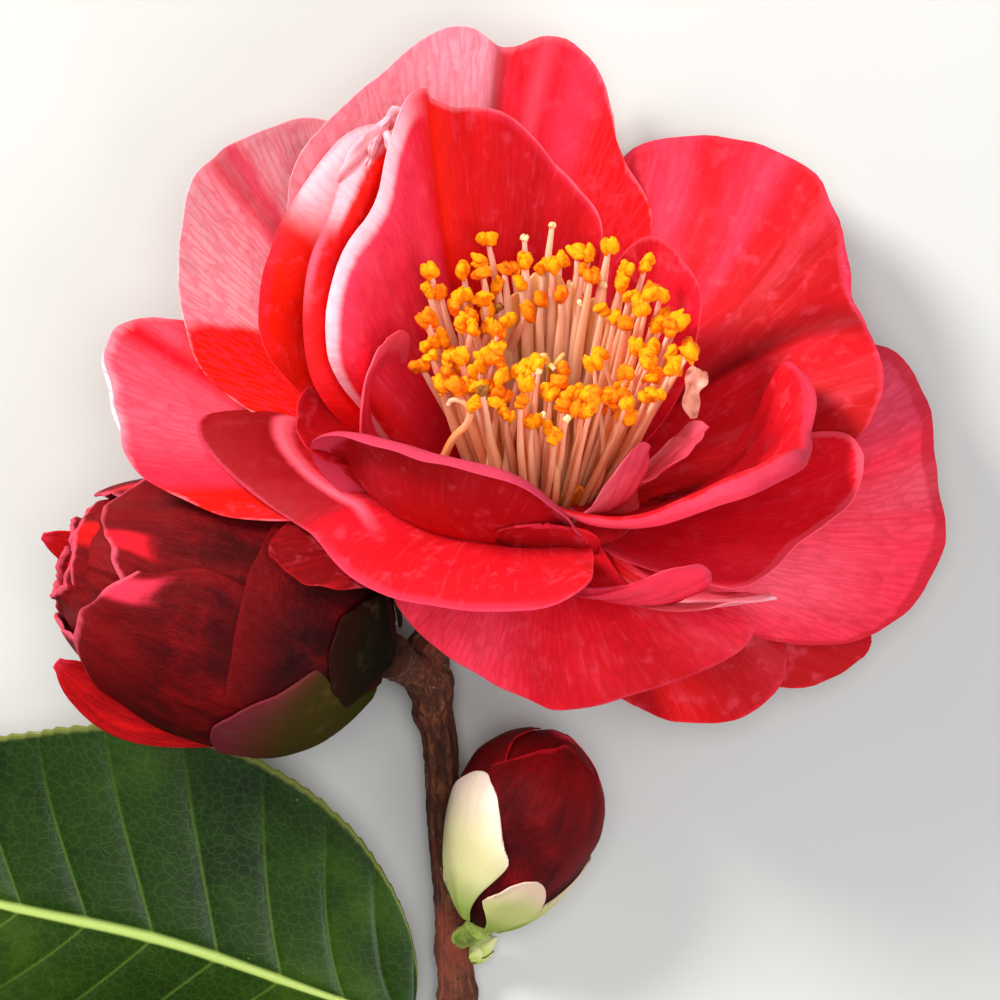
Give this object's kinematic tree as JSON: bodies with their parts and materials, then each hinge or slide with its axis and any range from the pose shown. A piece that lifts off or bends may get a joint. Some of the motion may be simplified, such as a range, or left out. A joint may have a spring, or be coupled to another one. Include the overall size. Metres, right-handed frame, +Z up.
{
  "type": "cut camellia flowering twig",
  "caption": "Cut flowering camellia twig lying flat: an open cupped red bloom with golden stamens, swelling buds beside it and a glossy leaf on a short woody stem.",
  "frame": {"origin": "middle of the twig's bounding box, on the plane it lies on", "axes": "+Z up, away from the plane it lies on; +Y along the stem from its cut end to the bloom; +X to the right of that, seen from above"},
  "size_m": [0.1414, 0.1152, 0.0525],
  "materials": {
    "petal_red": "satin, thin and translucent, with fine streaks",
    "petaloid_pink": "satin, purplish pink",
    "bud_red": "satin, dark, crinkled at the rims",
    "sepal_green": "matte, brownish to pale green",
    "leaf_green": "glossy, leathery",
    "leaf_stalk_green": "satin",
    "bark": "rough, reddish brown with pale strips",
    "stamen_gold": "matte, pale pink filaments with golden tips"
  },
  "bodies": {
    "root": {"back_inner_petal": "petal_red", "back_petal": "petal_red", "back_right_petal": "petal_red", "bloom_base": "petal_red", "bloom_calyx": "sepal_green", "bottom_petal": "petal_red", "far_left_petal": "petal_red", "front_left_petal": "petal_red", "front_lip_petal": "petal_red", "front_petal": "petal_red", "front_right_petal": "petal_red", "front_right_tip_petal": "petal_red", "leaf_blade": "leaf_green", "leaf_bud": "sepal_green", "leaf_stalk": "leaf_stalk_green", "left_bud": "bud_red", "left_bud_sepal_1": "sepal_green", "left_bud_sepal_2": "sepal_green", "left_bud_stalk": "bark", "left_bud_tip_1": "bud_red", "left_bud_tip_2": "bud_red", "left_inner_petal": "petal_red", "left_mid_petal": "petal_red", "left_petaloid": "petaloid_pink", "left_small_petal": "petal_red", "lower_left_petal": "petal_red", "lower_right_petal": "petal_red", "pistil": "stamen_gold", "right_back_inner_petal": "petal_red", "right_bud": "bud_red", "right_bud_sepal": "sepal_green", "right_bud_stalk": "sepal_green", "right_petal": "petal_red", "right_petaloid_1": "petaloid_pink", "right_petaloid_2": "petaloid_pink", "right_scoop_petal": "petal_red", "right_under_petal": "petal_red", "stamens_1": "stamen_gold", "stamens_2": "stamen_gold", "stamens_3": "stamen_gold", "stamens_4": "stamen_gold", "stamens_5": "stamen_gold", "stamens_6": "stamen_gold", "stem": "bark", "upper_left_petal": "petal_red"}
  },
  "joints": []
}
